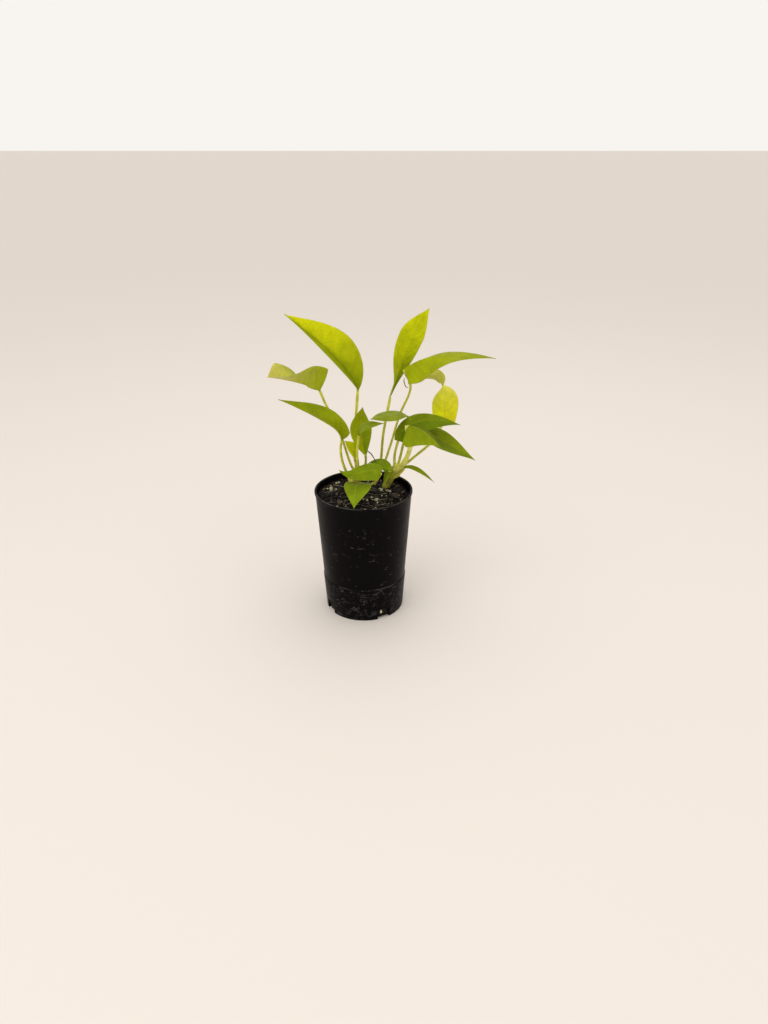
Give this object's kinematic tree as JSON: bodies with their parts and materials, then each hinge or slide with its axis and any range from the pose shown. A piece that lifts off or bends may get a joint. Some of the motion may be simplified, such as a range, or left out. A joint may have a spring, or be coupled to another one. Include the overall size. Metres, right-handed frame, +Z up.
{
  "type": "potted pothos plant",
  "caption": "Small trailing house plant with upright and drooping leaves on thin stalks, growing in a round tapered plastic nursery pot of potting mix.",
  "frame": {"origin": "centre of the flat underside of the pot's foot, on the table", "axes": "+Z up the pot, -Y the plant's front, +X to the right seen from the front"},
  "size_m": [0.2123, 0.1111, 0.3117],
  "materials": {
    "pot": "satin",
    "potting_mix": "matte",
    "stem": "satin",
    "petiole": "satin",
    "leaf": "satin",
    "perlite": "matte",
    "bark": "matte"
  },
  "bodies": {
    "root": {"stem_left_front": "stem", "stem_left_back": "stem", "stem_right": "stem", "stem_back": "stem", "petiole_upper_left": "petiole", "blade_upper_left": "leaf", "petiole_curled_left": "petiole", "blade_curled_left": "leaf", "petiole_middle_left": "petiole", "blade_middle_left": "leaf", "petiole_front_centre": "petiole", "blade_front_centre": "leaf", "petiole_upright_small": "petiole", "blade_upright_small": "leaf", "petiole_arching_centre": "petiole", "blade_arching_centre": "leaf", "petiole_right_upper": "petiole", "blade_right_upper": "leaf", "petiole_right_front": "petiole", "blade_right_front": "leaf", "petiole_right_lower": "petiole", "blade_right_lower": "leaf", "petiole_yellow_back": "petiole", "blade_yellow_back": "leaf", "petiole_small_right": "petiole", "blade_small_right": "leaf", "petiole_low_centre": "petiole", "blade_low_centre": "leaf", "petiole_low_right": "petiole", "blade_low_right": "leaf", "petiole_low_front": "petiole", "blade_low_front": "leaf", "petiole_rim_front": "petiole", "blade_rim_front": "leaf", "petiole_small_back": "petiole", "blade_small_back": "leaf", "petiole_upper_right": "petiole", "blade_upper_right": "leaf", "petiole_right_long": "petiole", "blade_right_long": "leaf", "perlite_grain_1": "perlite", "perlite_grain_2": "perlite", "perlite_grain_3": "perlite", "perlite_grain_4": "perlite", "perlite_grain_5": "perlite", "perlite_grain_6": "perlite", "perlite_grain_7": "perlite", "perlite_grain_8": "perlite", "bark_chip_broad": "bark", "bark_chip_narrow": "bark", "pot": "pot", "potting_mix": "potting_mix"}
  },
  "joints": []
}
